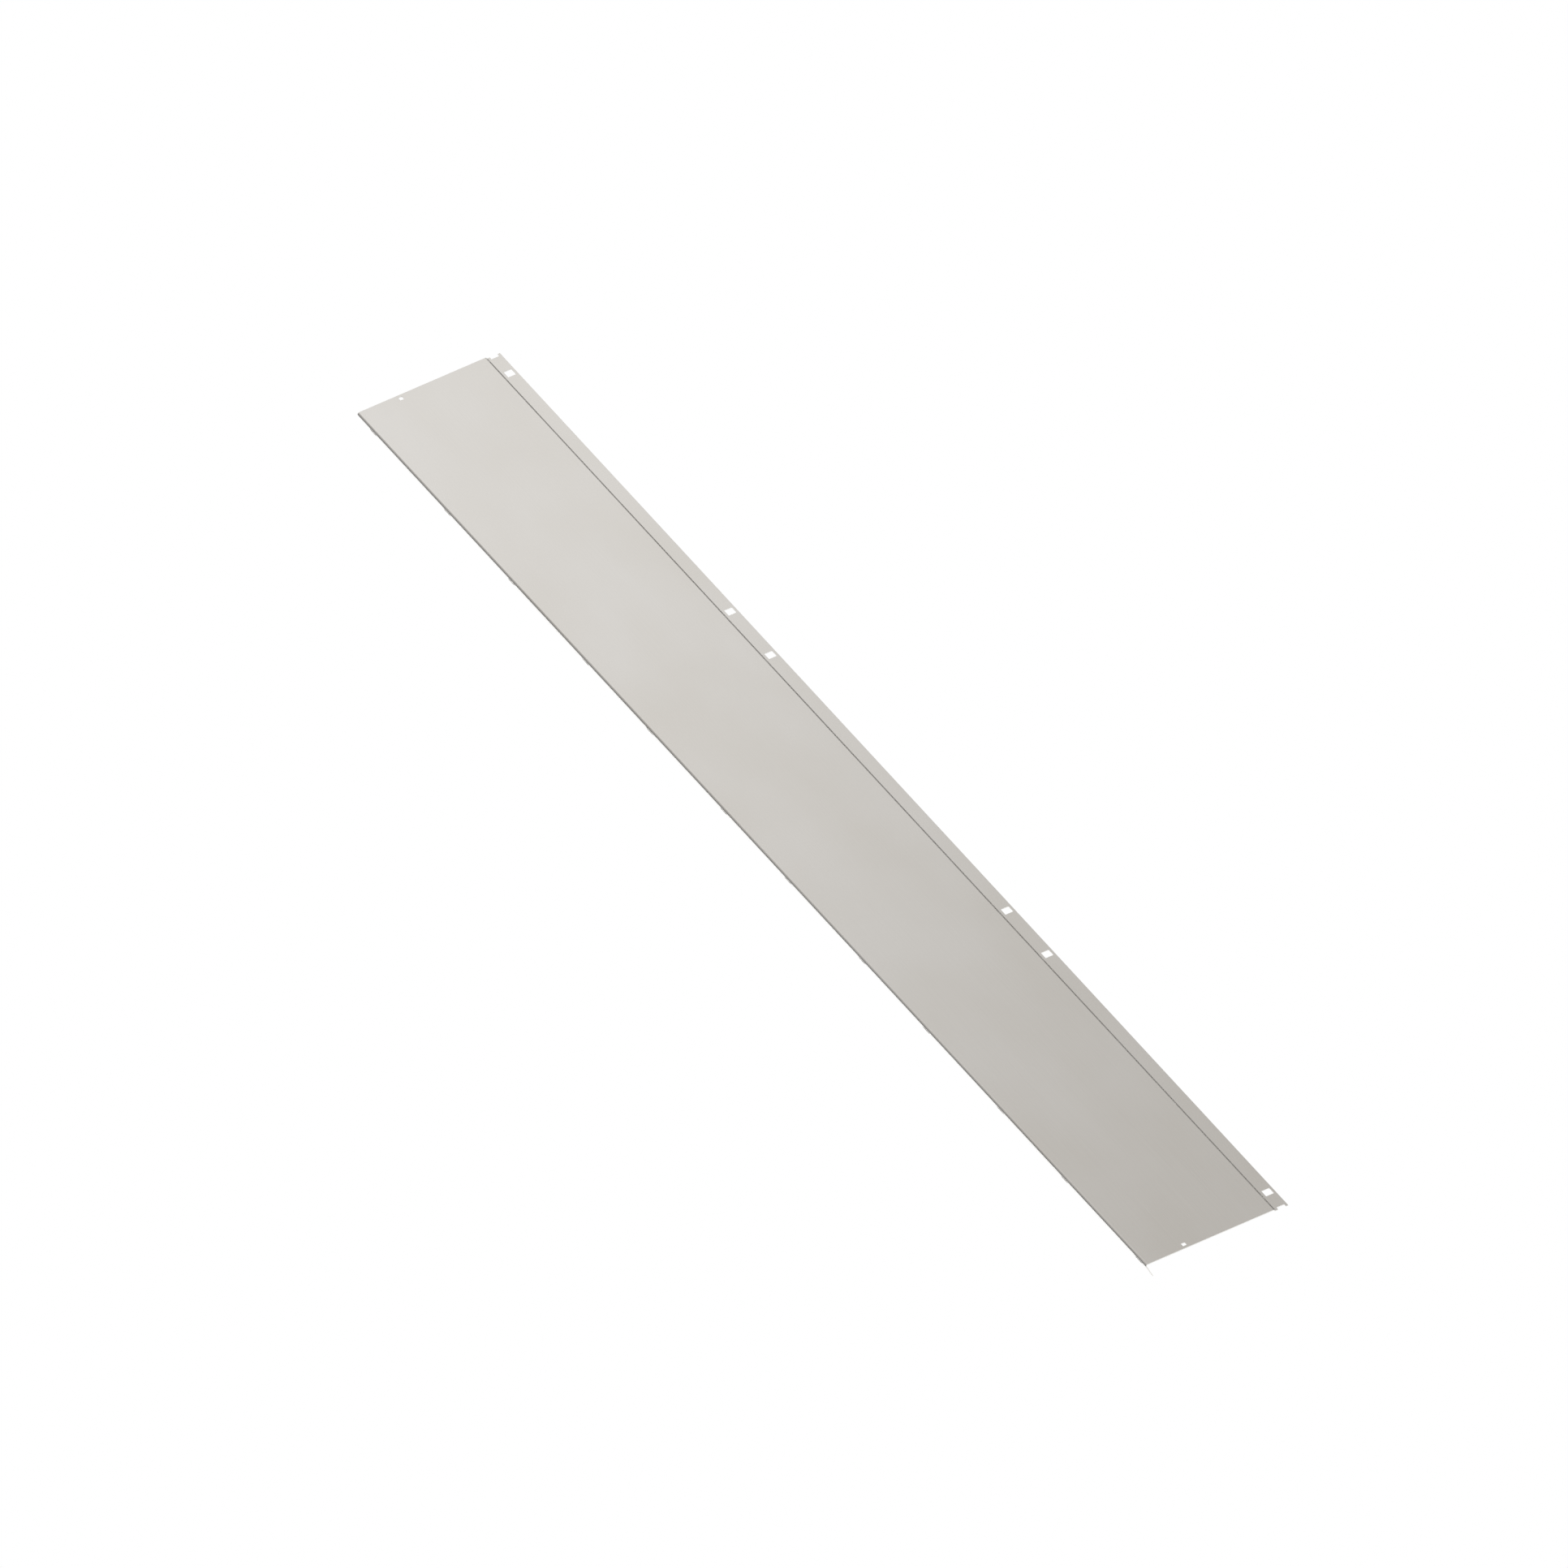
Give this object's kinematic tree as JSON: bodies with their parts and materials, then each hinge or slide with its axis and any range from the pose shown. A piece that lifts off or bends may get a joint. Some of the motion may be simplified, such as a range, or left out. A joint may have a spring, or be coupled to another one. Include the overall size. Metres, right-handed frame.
{
  "type": "sheet steel cover panel",
  "caption": "Long folded sheet-steel cover panel: one edge is a slotted hook flange with clip-on leaf springs, the other a lowered strip punched with square holes.",
  "frame": {"origin": "under the middle of the panel's length and width, level with the lowest edge of the hooked flange", "axes": "+X along the panel, +Y across it from the hooked flange to the punched strip, +Z out of the plain face"},
  "size_m": [2, 0.228, 0.027],
  "materials": {
    "galvanised_sheet": "satin galvanised, faint lengthwise rolling grain",
    "spring_steel": "bright zinc-plated spring strip"
  },
  "bodies": {
    "root": {"cover_panel": "galvanised_sheet", "leaf_spring_01": "spring_steel", "leaf_spring_02": "spring_steel", "leaf_spring_03": "spring_steel", "leaf_spring_04": "spring_steel", "leaf_spring_05": "spring_steel", "leaf_spring_06": "spring_steel", "leaf_spring_07": "spring_steel", "leaf_spring_08": "spring_steel", "leaf_spring_09": "spring_steel", "leaf_spring_10": "spring_steel", "leaf_spring_11": "spring_steel", "leaf_spring_12": "spring_steel"}
  },
  "joints": []
}
